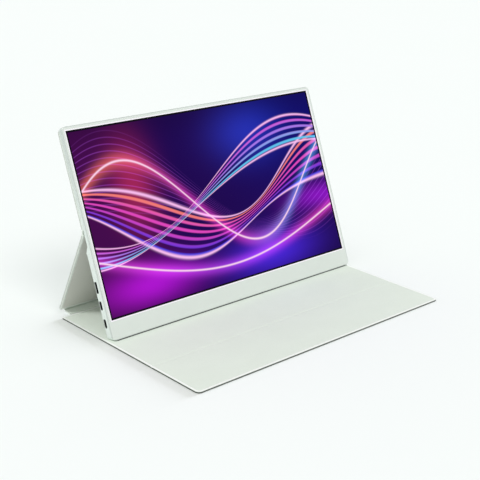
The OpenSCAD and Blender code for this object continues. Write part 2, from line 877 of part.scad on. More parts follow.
// soft strip up to a fold at Y = 0, with the round that the next strip turns on
module fold_round(w, reach) {
    block([-w/2, -reach - eps, -half_strip], [w/2, 0, half_strip]);
    bar_x(0, 0, half_strip, -w/2, w/2);
}

// soft strip from a fold at Y = 0, hollowed for the round of the strip before it,
// and cleared of that strip at a bend of turn degrees
module fold_hollow(w, reach, turn) {
    difference() {
        block([-w/2, 0, -half_strip], [w/2, reach + eps, half_strip]);
        bar_x(0, 0, half_strip + hinge_clear, -w/2 - eps, w/2 + eps);
        rotate([-turn, 0, 0])
            block([-w/2 - eps, -reach - 1, -half_strip - hinge_clear],
                  [w/2 + eps, 0, half_strip + hinge_clear]);
    }
}

// row of pockets or magnets, each as a block through the board
module magnet_row(xs, y, z, t, grow) {
    for (x = xs)
        block([x - magnet_len/2 - grow, y - magnet_w/2 - grow, z - half_strip],
              [x + magnet_len/2 + grow, y + magnet_w/2 + grow, z + t - half_strip]);
}

module flap_front_skin() {
    color(cover_pale) in_flap_front() {
        skin_tray(flap_w, crease_half, front_len, flap_t, flap_corner_r);
        fold_hollow(flap_w, crease_half, flap_fold_max);
    }
}

module flap_front_board() {
    color(board_grey) in_flap_front() difference() {
        layer(flap_w, crease_half, front_len, skin_t, flap_board_t, flap_corner_r);
        magnet_row(closing_xs, closing_y, skin_t - eps, flap_board_t + 2*eps, fit_clear);
    }
}

module flap_front_lining() {
    color(lining_pale) in_flap_front()
        layer(flap_w, crease_half, front_len, skin_t + flap_board_t, lining_t, flap_corner_r);
}

module closing_magnets() {
    color(steel) in_flap_front() magnet_row(closing_xs, closing_y, skin_t, flap_board_t, 0);
}

module flap_rear_skin() {
    color(cover_pale) in_flap_rear() {
        skin_tray(flap_w, crease_half, rear_len - spine_gap, flap_t, 0);
        mirror([0, 1, 0]) fold_round(flap_w, crease_half);
        translate([0, rear_len, 0]) fold_round(spine_w, spine_gap);
    }
}

module flap_rear_board() {
    color(board_grey) in_flap_rear() difference() {
        layer(flap_w, crease_half, rear_len - spine_gap, skin_t, flap_board_t, 0);
        magnet_row(foot_xs, foot_y, skin_t - eps, flap_board_t + 2*eps, fit_clear);
    }
}

module flap_rear_lining() {
    color(lining_pale) in_flap_rear()
        layer(flap_w, crease_half, rear_len - spine_gap, skin_t + flap_board_t, lining_t, 0);
}

module foot_magnets() {
    color(steel) in_flap_rear() magnet_row(foot_xs, foot_y, skin_t, flap_board_t, 0);
}

module spine_skin() {
    color(cover_pale) in_spine() {
        skin_tray(spine_w, spine_gap, spine_len - spine_gap, flap_t, 0);
        fold_hollow(spine_w, spine_gap, spine_rise);
        translate([0, spine_len, 0]) fold_round(spine_w, spine_gap);
    }
}

module spine_board() {
    color(board_grey) in_spine()
        layer(spine_w, spine_gap, spine_len - spine_gap, skin_t, flap_board_t, 0);
}

module spine_lining() {
    color(lining_pale) in_spine()
        layer(spine_w, spine_gap, spine_len - spine_gap, skin_t + flap_board_t, lining_t, 0);
}

module strut_skin() {
    color(cover_pale) in_strut() {
        skin_tray(back_w, strut_gap, strut_len - crease_half, strut_t, 0);
        fold_hollow(spine_w, strut_gap, strut_angle - spine_rise);
        translate([0, strut_len, 0]) fold_round(back_w, crease_half);
    }
}

module strut_board() {
    color(board_grey) in_strut() difference() {
        layer(back_w, strut_gap, strut_len - crease_half, skin_t, strut_board_t, 0);
        magnet_row(strut_xs, strut_magnet_y, skin_t - eps, strut_board_t + 2*eps, fit_clear);
    }
}

module strut_lining() {
    color(lining_pale) in_strut()
        layer(back_w, strut_gap, strut_len - crease_half, skin_t + strut_board_t, lining_t, 0);
}

module strut_magnets() {
    color(steel) in_strut() magnet_row(strut_xs, strut_magnet_y, skin_t, strut_board_t, 0);
}

module back_panel_skin() {
    color(cover_pale) in_back_panel() {
        skin_tray(back_w, crease_half, panel_len, panel_t, panel_corner_r);
        fold_hollow(back_w, crease_half, panel_angle - strut_angle);
    }
}

// steel plates sunk into the board, behind the monitor's magnets
module plate_row(grow) {
    inner_z = skin_t + panel_board_t - half_strip;
    for (x = disc_xs, z = disc_zs)
        translate([x, z - fold_height, inner_z - plate_t/2])
            cube([plate_w + 2*grow, plate_w + 2*grow, plate_t + 2*grow], center = true);
}

module back_panel_board() {
    color(board_grey) in_back_panel() difference() {
        layer(back_w, crease_half, panel_len, skin_t, panel_board_t, panel_corner_r);
        plate_row(fit_clear);
    }
}

module back_panel_lining() {
    color(lining_pale) in_back_panel()
        layer(back_w, crease_half, panel_len, skin_t + panel_board_t, lining_t, panel_corner_r);
}

module grip_plates() {
    color(steel) in_back_panel() plate_row(0);
}

front_bezel();
bezel_gasket();
lcd_cell();
prism_film();
diffuser_film();
light_guide();
reflector_sheet();
led_strip();
panel_tray();
panel_tapes();
timing_board();
source_flexes();
rear_case();
driver_board();
board_chips();
board_shield();
mini_hdmi_socket();
usb_c_socket_upper();
usb_c_socket_lower();
audio_jack();
power_button();
menu_rocker();
status_light_pipe();
button_board();
tact_switches();
speaker_left();
speaker_right();
display_ribbon();
button_ribbon();
case_screws();
board_screws();
back_magnets();
flap_front_skin();
flap_front_board();
flap_front_lining();
closing_magnets();
flap_rear_skin();
flap_rear_board();
flap_rear_lining();
foot_magnets();
spine_skin();
spine_board();
spine_lining();
strut_skin();
strut_board();
strut_lining();
strut_magnets();
back_panel_skin();
back_panel_board();
back_panel_lining();
grip_plates();
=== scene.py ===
import json
import math

import bmesh
import bpy
from mathutils import Matrix, Vector


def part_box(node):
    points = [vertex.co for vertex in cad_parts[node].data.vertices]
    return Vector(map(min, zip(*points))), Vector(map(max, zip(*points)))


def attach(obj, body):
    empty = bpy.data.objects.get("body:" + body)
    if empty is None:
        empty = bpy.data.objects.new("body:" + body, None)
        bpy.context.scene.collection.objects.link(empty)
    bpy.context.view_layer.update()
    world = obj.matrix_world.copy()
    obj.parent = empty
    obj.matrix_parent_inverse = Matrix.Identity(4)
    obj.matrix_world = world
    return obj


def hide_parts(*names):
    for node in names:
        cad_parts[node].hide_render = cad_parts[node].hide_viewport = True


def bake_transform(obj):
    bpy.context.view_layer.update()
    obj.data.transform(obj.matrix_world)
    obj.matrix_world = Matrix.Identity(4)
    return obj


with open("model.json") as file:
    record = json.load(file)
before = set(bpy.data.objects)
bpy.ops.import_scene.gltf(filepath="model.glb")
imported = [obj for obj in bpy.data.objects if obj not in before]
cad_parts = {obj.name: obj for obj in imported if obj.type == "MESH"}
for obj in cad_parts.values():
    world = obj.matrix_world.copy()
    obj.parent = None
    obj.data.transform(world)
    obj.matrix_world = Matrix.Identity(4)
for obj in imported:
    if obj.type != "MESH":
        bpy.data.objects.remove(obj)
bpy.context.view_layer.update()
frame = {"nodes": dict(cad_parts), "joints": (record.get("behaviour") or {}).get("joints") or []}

MM = 0.001

# ---- places taken from the frame ----

joints = {j["name"]: j for j in frame["joints"]}


def fold_place(joint):
    """Where a fold's axis crosses the middle plane, as (y, z)."""
    return Vector(joints[joint]["pos_m"][1:])


crease_at = fold_place("flap_crease")
fold_a = fold_place("flap_spine_fold")
fold_b = fold_place("spine_strut_fold")
fold_c = fold_place("strut_panel_fold")
cover_x = joints["flap_crease"]["pos_m"][0]
depth_axis = Vector(joints["menu_rock"]["axis"])
lean = math.asin(-depth_axis.z)
up_axis = Vector((0, math.sin(lean), math.cos(lean)))

# ---- the cover's sizes ----

strip_t = 1.1*MM
half_strip = strip_t/2
flap_t = 2.0*MM
strut_t = 3.0*MM
panel_t = 2.6*MM
crease_half = 3.2*MM
flap_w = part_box("flap_rear_skin")[1].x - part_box("flap_rear_skin")[0].x
back_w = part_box("strut_skin")[1].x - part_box("strut_skin")[0].x
spine_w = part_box("spine_skin")[1].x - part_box("spine_skin")[0].x
corner_r = 5*MM
small_r = 2*MM
rim_round = 0.34
hem_w = 2.2*MM
seam_w = 0.3*MM
seam_deep = 0.12*MM
lining_drop = 0.03*MM
level_w = 0.5*MM
outer_inset = 9*MM

front_end = crease_at.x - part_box("flap_front_skin")[0].y
rear_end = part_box("flap_rear_skin")[1].y - crease_at.x
spine_len = (fold_b - fold_a).length
strut_len = (fold_c - fold_b).length
spine_gap = 2.5*MM
strut_gap = 3.4*MM
panel_end = 106.5*MM

# ---- the monitor's sizes ----

case_w = 355.6*MM
case_h = 221*MM
opening_w = 346.8*MM
opening_h = 196.2*MM
chin_h = 20.4*MM
# the lower front edge of the case, from which depth and height are counted
foot_at = Vector((0, 19.135*MM, 3.2447*MM))
glass_lo, glass_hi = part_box("lcd_cell")
monitor_x = (glass_lo.x + glass_hi.x)/2
edge_round = 0.25*MM
# the sockets' mouths in millimetres: length, thickness and corner radius
usb_c_mouth = (8.94, 3.26, 1.63)
mini_hdmi_mouth = (11.2, 3.2, 0.2)
# each socket's height above the foot, in millimetres
sockets = ((18.6, usb_c_mouth), (37.4, usb_c_mouth), (56.2, mini_hdmi_mouth))
socket_depth = 6.2*MM

# ---- materials ----

# grain of a moulded surface and of the slow clouds in its gloss and colour
fine_grain = 0.5*MM
gloss_clouds = 6*MM
colour_clouds = 30*MM
moulded_depth = 0.012*MM


def linear(red, green, blue):
    """A colour given in screen values of 0 to 255, as the shader wants it."""
    def one(value):
        value /= 255
        return value/12.92 if value <= 0.04045 else ((value + 0.055)/1.055)**2.4
    return (one(red), one(green), one(blue), 1)


class Number:
    """A value in a material's node tree, with the usual arithmetic."""

    def __init__(self, tree, socket):
        self.tree = tree
        self.socket = socket

    def op(self, kind, *others):
        """The result of one Math node, with this value as its first input."""
        node = self.tree.nodes.new("ShaderNodeMath")
        node.operation = kind
        for place, value in enumerate((self, *others)):
            if isinstance(value, Number):
                self.tree.links.new(value.socket, node.inputs[place])
            else:
                node.inputs[place].default_value = value
        return Number(self.tree, node.outputs[0])

    def __add__(self, other):
        return self.op("ADD", other)

    def __sub__(self, other):
        return self.op("SUBTRACT", other)

    def __mul__(self, other):
        return self.op("MULTIPLY", other)

    def __truediv__(self, other):
        return self.op("DIVIDE", other)

    def sin(self):
        return self.op("SINE")

    def size(self):
        return self.op("ABSOLUTE")

    def squared(self):
        return self*self

    def falloff(self):
        """1 at nought, fading like a bell on both sides."""
        return (self.squared()*-1).op("EXPONENT")

    def step(self, low, high):
        """A smooth step from 0 at low to 1 at high; low may be the larger of the two."""
        node = self.tree.nodes.new("ShaderNodeMapRange")
        node.interpolation_type = "SMOOTHSTEP"
        self.tree.links.new(self.socket, node.inputs["Value"])
        node.inputs["From Min"].default_value = low
        node.inputs["From Max"].default_value = high
        return Number(self.tree, node.outputs["Result"])


class Finish:
    """A material with one Principled shader, and short ways to feed it."""

    def __init__(self, name, roughness, **values):
        self.material = bpy.data.materials.new(name)
        self.material.use_nodes = True
        self.tree = self.material.node_tree
        self.shader = self.tree.nodes["Principled BSDF"]
        self.shader.inputs["Roughness"].default_value = roughness
        for key, value in values.items():
            self.shader.inputs[key.replace("_", " ")].default_value = value
        self.where = self.tree.nodes.new("ShaderNodeTexCoord").outputs["Object"]

    def dot(self, axis):
        """The distance along an axis, in metres."""
        node = self.tree.nodes.new("ShaderNodeVectorMath")
        node.operation = "DOT_PRODUCT"
        self.tree.links.new(self.where, node.inputs[0])
        node.inputs[1].default_value = axis
        return Number(self.tree, node.outputs["Value"])

    def noise(self, grain, detail=2, stretch=(1, 1, 1)):
        """Cloudy noise whose spots are about one grain across."""
        scaled = self.tree.nodes.new("ShaderNodeVectorMath")
        scaled.operation = "MULTIPLY"
        self.tree.links.new(self.where, scaled.inputs[0])
        scaled.inputs[1].default_value = stretch
        node = self.tree.nodes.new("ShaderNodeTexNoise")
        node.inputs["Scale"].default_value = 1/grain
        node.inputs["Detail"].default_value = detail
        self.tree.links.new(scaled.outputs[0], node.inputs["Vector"])
        return Number(self.tree, node.outputs["Fac"])

    def pebbles(self, grain):
        """Height of the rounded pebbles of an embossed leather."""
        node = self.tree.nodes.new("ShaderNodeTexVoronoi")
        node.feature = "SMOOTH_F1"
        node.inputs["Scale"].default_value = 1/grain
        node.inputs["Smoothness"].default_value = 0.4
        self.tree.links.new(self.where, node.inputs["Vector"])
        return Number(self.tree, node.outputs["Distance"])*-1

    def attribute(self, name):
        node = self.tree.nodes.new("ShaderNodeAttribute")
        node.attribute_name = name
        return Number(self.tree, node.outputs["Fac"])

    def mix(self, share, first, second, how="MIX"):
        """first turned into second by share; each is a colour or the output of another mix."""
        node = self.tree.nodes.new("ShaderNodeMix")
        node.data_type = "RGBA"
        node.blend_type = how
        if isinstance(share, Number):
            self.tree.links.new(share.socket, node.inputs["Factor"])
        else:
            node.inputs["Factor"].default_value = share
        for socket, colour in ((node.inputs[6], first), (node.inputs[7], second)):
            if isinstance(colour, tuple):
                socket.default_value = colour
            else:
                self.tree.links.new(colour, socket)
        return node.outputs[2]

    def colour(self, socket):
        self.tree.links.new(socket, self.shader.inputs["Base Color"])

    def roughness(self, low, high, number):
        node = self.tree.nodes.new("ShaderNodeMapRange")
        self.tree.links.new(number.socket, node.inputs["Value"])
        node.inputs["To Min"].default_value = low
        node.inputs["To Max"].default_value = high
        self.tree.links.new(node.outputs["Result"], self.shader.inputs["Roughness"])

    def bump(self, height, depth):
        """height is 0 to 1, and depth says how many metres that is."""
        node = self.tree.nodes.new("ShaderNodeBump")
        node.inputs["Distance"].default_value = depth
        self.tree.links.new(height.socket, node.inputs["Height"])
        self.tree.links.new(node.outputs["Normal"], self.shader.inputs["Normal"])


def darkened(shade, share):
    """A colour with its brightness brought down to a share."""
    return tuple(c*share for c in shade[:3]) + (1,)


def satin(finish, rough, grain=fine_grain, depth=moulded_depth):
    """The gloss and the fine grain of a moulded or painted surface."""
    finish.roughness(rough - 0.05, rough + 0.05, finish.noise(gloss_clouds))
    finish.bump(finish.noise(grain, 3), depth)
    return finish.material


def moulded(name, shade, rough, grain=fine_grain, depth=moulded_depth, **values):
    """Satin moulded or painted surface: a fine grain, with faint clouds in its colour and gloss."""
    finish = Finish(name, rough, **values)
    clouds = finish.noise(colour_clouds, 3)
    finish.colour(finish.mix(clouds, darkened(shade, 0.97), shade))
    return satin(finish, rough, grain, depth)


def front_shell():
    """The front frame's satin white, with a faint grey line along its outer edge."""
    finish = Finish("front_white", 0.42, Specular_IOR_Level=0.4)
    base = finish.mix(finish.noise(colour_clouds, 3), linear(233, 239, 233), linear(237, 243, 237))
    half_w, half_h = case_w/2, case_h/2
    # how far a point lies outside the case's sides and its ends, so less than 0 on its face
    out_x = (finish.dot((1, 0, 0)) - monitor_x).size() - half_w
    out_z = (finish.dot(up_axis) - (foot_at.dot(up_axis) + half_h)).size() - half_h
    edge = out_x.op("MAXIMUM", out_z).step(-1.1*MM, -0.5*MM)
    finish.colour(finish.mix(edge*0.8, base, linear(200, 208, 203)))
    return satin(finish, 0.42)


def rear_shell():
    """The rear case's satin white, with painted shade: darker towards its thin upper part."""
    finish = Finish("rear_white", 0.45, Specular_IOR_Level=0.35)
    clouds = finish.noise(colour_clouds, 3)
    lower = finish.mix(clouds, linear(222, 231, 225), linear(228, 237, 231))
    upper = finish.mix(clouds, linear(202, 210, 205), linear(208, 216, 211))
    # painted shade: the case is coloured darker towards its top
    finish.colour(finish.mix(finish.dot((0, 0, 1)).step(85*MM, 180*MM), lower, upper))
    return satin(finish, 0.45)


def metal(name, shade, rough, stretch=(1, 1, 1)):
    """Bare metal with a fine brushed or rolled grain."""
    finish = Finish(name, rough, Metallic=1)
    brushed = finish.noise(0.4*MM, 4, stretch)
    finish.colour(finish.mix(brushed, darkened(shade, 0.8), shade))
    finish.roughness(rough - 0.08, rough + 0.1, brushed)
    finish.bump(brushed, 0.008*MM)
    return finish.material


def leather():
    """Pale embossed leatherette of the cover's outside, with painted shade on the lower round of its rim and
    a painted highlight along the rim's upper edge.
    """
    finish = Finish("cover_leather", 0.55, Specular_IOR_Level=0.35)
    pebble = 0.8*MM
    clouds = finish.noise(22*MM, 3)
    base = finish.mix(clouds, linear(228, 235, 226), linear(236, 242, 234))
    pits = finish.pebbles(pebble).step(-0.75, -0.35)
    base = finish.mix(pits*0.5 + 0.5, linear(218, 224, 215), base)
    # painted shade on the rim's lower round, then a painted highlight along its upper edge
    base = finish.mix(finish.attribute("under"), base, linear(60, 66, 60))
    base = finish.mix(finish.attribute("under")*-1, base, linear(253, 255, 252))
    finish.colour(base)
    finish.roughness(0.48, 0.62, clouds)
    finish.bump(finish.pebbles(pebble) + finish.noise(0.25*MM)*0.3, 0.025*MM)
    return finish.material


def lining(name, pale, dark):
    """Smooth pale lining with a very fine nap and soft clouds from handling."""
    finish = Finish(name, 0.8, Specular_IOR_Level=0.25, Sheen_Weight=0.08)
    clouds = finish.noise(45*MM, 4, (1, 1.6, 1))
    nap = finish.noise(0.35*MM, 3, (1, 0.5, 1))
    base = finish.mix(clouds, dark, pale)
    base = finish.mix(nap.step(0.35, 0.7)*0.3, base, darkened(dark, 0.88))
    finish.colour(base)
    finish.roughness(0.72, 0.88, clouds)
    finish.bump(nap, 0.03*MM)
    return finish.material


# ---- the picture on the screen ----

# half the picture's width, and the unlit edge of the panel, in heights of the picture
half_wide = opening_w/opening_h/2
dark_edge = 0.0085


def screen():
    """A made-up night design: soft glows, fine threads, two broad striped waves and two thin bright ones."""
    finish = Finish("lit_screen", 0.4, Specular_IOR_Level=0.02)
    # across and up the picture, in its heights
    x = (finish.dot((1, 0, 0)) - (monitor_x - opening_w/2))/opening_h
    y = (finish.dot(up_axis) - (foot_at.dot(up_axis) + chin_h))/opening_h
    # the ground: plum at the left, indigo in the middle, blue at the upper right
    ground = finish.mix(x.step(0, 0.7), linear(66, 4, 74), linear(28, 0, 78))
    ground = finish.mix(x.step(0.8, 1.5)*y.step(0.15, 0.9), ground, linear(10, 4, 104))
    ground = finish.mix((y - 0.5).size().step(0.3, 0.62)*0.45, ground, linear(14, 0, 34))

    # soft glows: middle, size and colour
    glows = (
        ((0.3, 0.12), (0.3, 0.1), (165, 15, 195)),
        ((1.2, 0.1), (0.34, 0.12), (62, 34, 200)),
        ((0.34, 0.66), (0.13, 0.22), (150, 34, 40)),
        ((1.7, 0.36), (0.26, 0.07), (130, 15, 170)),
        ((1.2, 0.82), (0.26, 0.16), (26, 44, 150)),
    )
    picture = ground
    for at, size, colour in glows:
        far = ((x - at[0])/size[0]).squared() + ((y - at[1])/size[1]).squared()
        picture = finish.mix((far*-1).op("EXPONENT"), picture, linear(*colour), "ADD")

    def wave(rate, start, swing, middle):
        """A height that swings to both sides of its middle along the picture."""
        return (x*rate + start).sin()*swing + middle

    def swell(rate, start, swing, least):
        """A half width that grows and narrows along the picture."""
        return (x*rate + start).sin().squared()*swing + least

    def band(picture, middle, half, stripes, first, second, third):
        """A wave's band: stripes across it, and its colour changes along and across."""
        across = (y - middle)/half
        inside = across.size().step(1.0, 0.93)
        lines = (across*stripes).sin().step(-0.2, 0.95)
        shade = finish.mix(across.step(-0.9, 0.1), linear(*first), linear(*second))
        shade = finish.mix(across.step(0.2, 0.9), shade, linear(*third))
        picture = finish.mix(inside*lines*0.95, picture, shade)
        return finish.mix(((across.size() - 1)/0.07).falloff(), picture, linear(250, 190, 240))

    def filaments(picture, middle, half, count, colour):
        """A sheaf of hair-thin faint lines."""
        across = (y - middle)/half
        hairs = (across*count).sin().step(0.7, 1.0)*across.squared().step(1.0, 0.2)
        return finish.mix(hairs*0.2, picture, linear(*colour), "ADD")

    def line(picture, middle, width, first, second, third):
        """A thin bright line with a wide glow, whose colour changes along it."""
        far = y - middle
        shade = finish.mix(x.step(0.1, 0.8), linear(*first), linear(*second))
        shade = finish.mix(x.step(0.9, 1.6), shade, linear(*third))
        picture = finish.mix((far/(width*7)).falloff()*0.45, picture, shade, "ADD")
        return finish.mix((far/width).falloff(), picture, linear(255, 215, 240))

    picture = filaments(picture, wave(2.7, 1.2, 0.25, 0.5), swell(2, 1, 0.22, 0.05), 46, (190, 90, 240))
    picture = band(picture, wave(3.1, 2.1, 0.17, 0.47), swell(2.3, 0.5, 0.12, 0.035), 19,
                   (60, 50, 220), (228, 72, 190), (250, 130, 105))
    picture = band(picture, wave(2.2, 4.4, 0.24, 0.55), swell(1.7, 2.2, 0.075, 0.012), 14,
                   (90, 200, 240), (170, 120, 235), (225, 70, 205))
    picture = line(picture, wave(3.6, 0.6, 0.3, 0.5), 0.006,
                   (255, 120, 60), (235, 60, 200), (90, 170, 255))
    picture = line(picture, wave(1.9, 3.0, 0.18, 0.28), 0.005,
                   (235, 70, 235), (200, 70, 240), (245, 70, 190))
    # the unlit edge of the panel
    side = (x - half_wide).size().step(half_wide - dark_edge, half_wide - dark_edge*1.4)
    end = (y - 0.5).size().step(0.5 - dark_edge, 0.5 - dark_edge*1.4)
    picture = finish.mix(side*end, linear(9, 0, 20), picture)
    finish.shader.inputs["Base Color"].default_value = linear(3, 3, 6)
    finish.tree.links.new(picture, finish.shader.inputs["Emission Color"])
    finish.shader.inputs["Emission Strength"].default_value = 1
    finish.bump(finish.noise(0.3*MM), 0.002*MM)
    return finish.material


def board_green():
    """Solder mask with faint copper runs under it."""
    finish = Finish("board_mask", 0.35, Coat_Weight=0.4)
    runs = (finish.noise(3*MM, 1, (1, 6, 6))*40).sin().step(0.6, 0.9)
    finish.colour(finish.mix(runs*0.6, linear(18, 74, 46), linear(40, 112, 66)))
    finish.bump(runs, 0.02*MM)
    return finish.material


def fibre_grey():
    """Pressed fibre board, with short strands."""
    finish = Finish("pressed_board", 0.9)
    strands = finish.noise(0.9*MM, 5, (1, 4, 4))
    finish.colour(finish.mix(strands, linear(128, 122, 112), linear(164, 158, 146)))
    finish.bump(strands, 0.05*MM)
    return finish.material


leather_skin = leather()
lining_cloth = lining("cover_lining_cloth", linear(235, 243, 232), linear(228, 236, 225))
# painted shade: a darker, warmer copy of the lining for the strut, standing in for the shade inside the stand
shaded_strut_cloth = lining("strut_lining_painted_shade", linear(221, 220, 213), linear(214, 213, 206))
finishes = {
    "case_white": moulded("white_case", linear(237, 243, 237), 0.42, Specular_IOR_Level=0.4),
    "button_plastic": moulded("button_white", linear(214, 220, 212), 0.35, 0.3*MM),
    "black_strip": moulded("black_mask", linear(5, 3, 9), 0.5, 0.3*MM, Specular_IOR_Level=0.08),
    "screen_glass": screen(),
    "optical_film": moulded("frosted_film", linear(228, 230, 228), 0.3, 0.15*MM),
    "circuit_board": board_green(),
    "sheet_steel": metal("rolled_steel", linear(190, 192, 194), 0.35, (1, 12, 12)),
    "foam_tape": moulded("foam_tape_grey", linear(58, 58, 60), 0.9, 0.4*MM, 0.1*MM),
    "amber_film": moulded("amber_film_gloss", linear(196, 120, 30), 0.3, 0.6*MM),
    "chip_plastic": moulded("chip_black", linear(34, 34, 38), 0.55, 0.2*MM),
    # painted shade: the sockets' steel is coloured near black, as the shade inside their mouths
    "socket_steel": moulded("socket_painted_shade", linear(9, 9, 10), 0.5, 0.2*MM, Specular_IOR_Level=0.15),
    "clear_plastic": moulded("light_pipe", linear(206, 222, 214), 0.15, Coat_Weight=0.6),
    "ribbon_plastic": moulded("ribbon_white", linear(222, 222, 214), 0.4, 0.5*MM),
    "screw_steel": metal("screw_metal", linear(176, 178, 182), 0.28),
    "magnet_steel": metal("magnet_metal", linear(150, 152, 156), 0.24),
    "cover_skin": leather_skin,
    "cover_lining": lining_cloth,
    "fibre_board": fibre_grey(),
}
for node in frame["nodes"].values():
    for slot in node.material_slots:
        slot.material = finishes[slot.material.name.split(".")[0]]
frame["nodes"]["rear_case"].material_slots[0].material = rear_shell()
frame["nodes"]["front_bezel"].material_slots[0].material = front_shell()

# ---- the cover, built from rings round each rim ----

SKIN, CLOTH = 0, 1


def rim_profile(thick):
    """From the outer face round the rim to the lining: inset, height, shade, material.

    The shade is painted: up to 1 darkens the rim's lower round where shade falls, and -1 is a painted
    highlight along its upper edge.
    """
    r = rim_round*thick
    quarter = [math.radians(a) for a in (0, 22.5, 45, 67.5, 90)]
    points = [(outer_inset, 0, 0, SKIN), (r + level_w, 0, 0, SKIN)]
    points += [(r - r*math.sin(a), r - r*math.cos(a), min(0.3 + a, 1), SKIN) for a in quarter]
    points += [(r - r*math.cos(a), thick - r + r*math.sin(a), 1 - 1.27*a, SKIN) for a in quarter]
    seam = thick - seam_deep
    cloth = thick - lining_drop
    points += [
        (r + 0.1*level_w, thick, -1, SKIN),
        (hem_w, thick, -1, SKIN),
        (hem_w + 0.3*seam_w, seam, 0, SKIN),
        (hem_w + 0.7*seam_w, seam, 0, CLOTH),
        (hem_w + seam_w, cloth, 0, CLOTH),
        (hem_w + seam_w + level_w, cloth, 0, CLOTH),
        (outer_inset, cloth, 0, CLOTH),
    ]
    return points


class Section:
    """The frame of a flat stretch of the cover: along it from a fold, and up towards its lining."""

    def __init__(self, place, angle):
        self.place = place
        self.ahead = Vector((math.cos(angle), math.sin(angle)))
        self.up = Vector((-self.ahead.y, self.ahead.x))

    def point(self, across, along, height):
        """A point in space; height counts from the outer face, half a strip below the fold's axis."""
        at = self.place + self.ahead*along + self.up*(height - half_strip)
        return Vector((cover_x + across, at.x, at.y))


def angle_of(vector):
    return math.atan2(vector.y, vector.x)


flap = Section(crease_at, 0)
spine = Section(fold_a, angle_of(fold_b - fold_a))
strut = Section(fold_b, angle_of(fold_c - fold_b))
panel = Section(fold_c, math.pi/2 - lean)


def finish_piece(name, mesh_data, materials, body, stands_for=(), rim_shade=0):
    """Turns (points, faces) into an object that rides on a body and stands for CAD nodes.

    Each point brings its painted shade or highlight, which rim_shade weakens, and each face the number of its
    material.
    """
    points, faces = mesh_data
    mesh = bpy.data.meshes.new(name)
    mesh.from_pydata([p for p, _ in points], [], [f for f, _ in faces])
    under = mesh.attributes.new("under", "FLOAT", "POINT")
    for place, (_, value) in enumerate(points):
        under.data[place].value = value*rim_shade
    for material in materials:
        mesh.materials.append(material)
    for face, (_, index) in zip(mesh.polygons, faces):
        face.material_index = index
        face.use_smooth = True
    shaped = bmesh.new()
    shaped.from_mesh(mesh)
    bmesh.ops.recalc_face_normals(shaped, faces=shaped.faces)
    shaped.to_mesh(mesh)
    shaped.free()
    mesh.set_sharp_from_angle(angle=math.radians(50))
    piece = bpy.data.objects.new(name, mesh)
    bpy.context.collection.objects.link(piece)
    if body:
        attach(piece, body)
    if stands_for:
        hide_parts(*stands_for)
    return piece


def outline(width, start, end, inset, radius):
    """Three sides of a flat piece, open at its fold: down one side, round the far end, back up the other."""
    way = 1 if end > start else -1
    half, far = width/2 - inset, end - way*inset
    r = max(radius - inset, 0.1*MM)
    turns = [math.radians(a) for a in range(0, 91, 15)]
    left = [(-half + r - r*math.cos(a), far - way*(r - r*math.sin(a))) for a in turns]
    right = [(-x, along) for x, along in reversed(left)]
    return [(-half, start), *left, *right, (half, start)]


def flat_piece(name, section, width, start, end, thick, radius, body, stands_for, rim_shade,
               cloth=lining_cloth):
    """One stiff stretch of the cover, with a rim turned over on three sides and a cut end at its fold."""
    points, rings, faces = [], [], []
    profile = rim_profile(thick)
    for inset, height, under, _ in profile:
        ring = outline(width, start, end, inset, radius)
        rings.append(range(len(points), len(points) + len(ring)))
        points += [(section.point(x, along, height), under) for x, along in ring]
    for (_, _, _, material), low, high in zip(profile, rings, rings[1:]):
        for n in range(len(low) - 1):
            faces.append(((low[n], low[n + 1], high[n + 1], high[n]), material))
    faces.append((tuple(rings[0]), SKIN))
    faces.append((tuple(rings[-1]), CLOTH))
    faces.append((tuple([r[0] for r in rings] + [r[-1] for r in reversed(rings)]), SKIN))
    return finish_piece(name, (points, faces), (leather_skin, cloth), body, stands_for,
                        rim_shade)


def strip_piece(name, stations, width, body, stands_for=(), rim_shade=0):
    """A stretch of one width, lofted through stations that are each (section, along, thickness)."""
    points, rings, faces = [], [], []
    half = width/2
    for section, along, thick in stations:
        profile = rim_profile(thick)
        side = [(half - inset, height, under) for inset, height, under, _ in profile]
        loop = [(-x, h, u) for x, h, u in side] + [(x, h, u) for x, h, u in reversed(side)]
        rings.append(range(len(points), len(points) + len(loop)))
        points += [(section.point(x, along, h), u) for x, h, u in loop]
    materials = [m for _, _, _, m in profile]
    around = materials[:-1] + [CLOTH] + materials[-2::-1] + [SKIN]
    for near, far in zip(rings, rings[1:]):
        count = len(near)
        for n in range(count):
            m = (n + 1) % count
            faces.append(((near[n], near[m], far[m], far[n]), around[n]))
    faces.append((tuple(rings[0]), SKIN))
    faces.append((tuple(rings[-1]), SKIN))
    return finish_piece(name, (points, faces), (leather_skin, lining_cloth), body, stands_for,
                        rim_shade)


def bend(first, first_along, second, second_along, steps, dip=0.0):
    """Frames along a smooth curve from one section to the next, through the fold between them."""
    start = first.place + first.ahead*first_along
    end = second.place + second.ahead*second_along
    corner = second.place + second.up*dip
    frames = []
    for n in range(steps + 1):
        t = n/steps
        at = start*(1 - t)**2 + corner*2*t*(1 - t) + end*t**2
        ahead = (corner - start)*(1 - t) + (end - corner)*t
        frames.append((t, Section(at, angle_of(ahead))))
    return frames


def thickness(t, first, middle, last):
    """A crease's thickness: full at both ends, with a short level stretch there, and thin in the middle."""
    thin_share, ramp_share = 0.2, 0.7
    ramp = min(max((abs(2*t - 1) - thin_share)/ramp_share, 0), 1)
    ramp = ramp*ramp*(3 - 2*ramp)
    edge = first if t < 0.5 else last
    return middle + (edge - middle)*ramp


def crease_piece(name, frames, width, thicknesses, rim_shade=0):
    """A strip of skin curved across a fold, reaching from one stretch of the cover to the next."""
    stations = [(section, 0, thickness(t, *thicknesses)) for t, section in frames]
    piece = strip_piece(name, stations, width, None, (), rim_shade)
    first, last = frames[0][1], frames[-1][1]
    first.point(0, 0, half_strip)
    last.point(0, 0, half_strip)
    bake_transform(piece)
    return piece
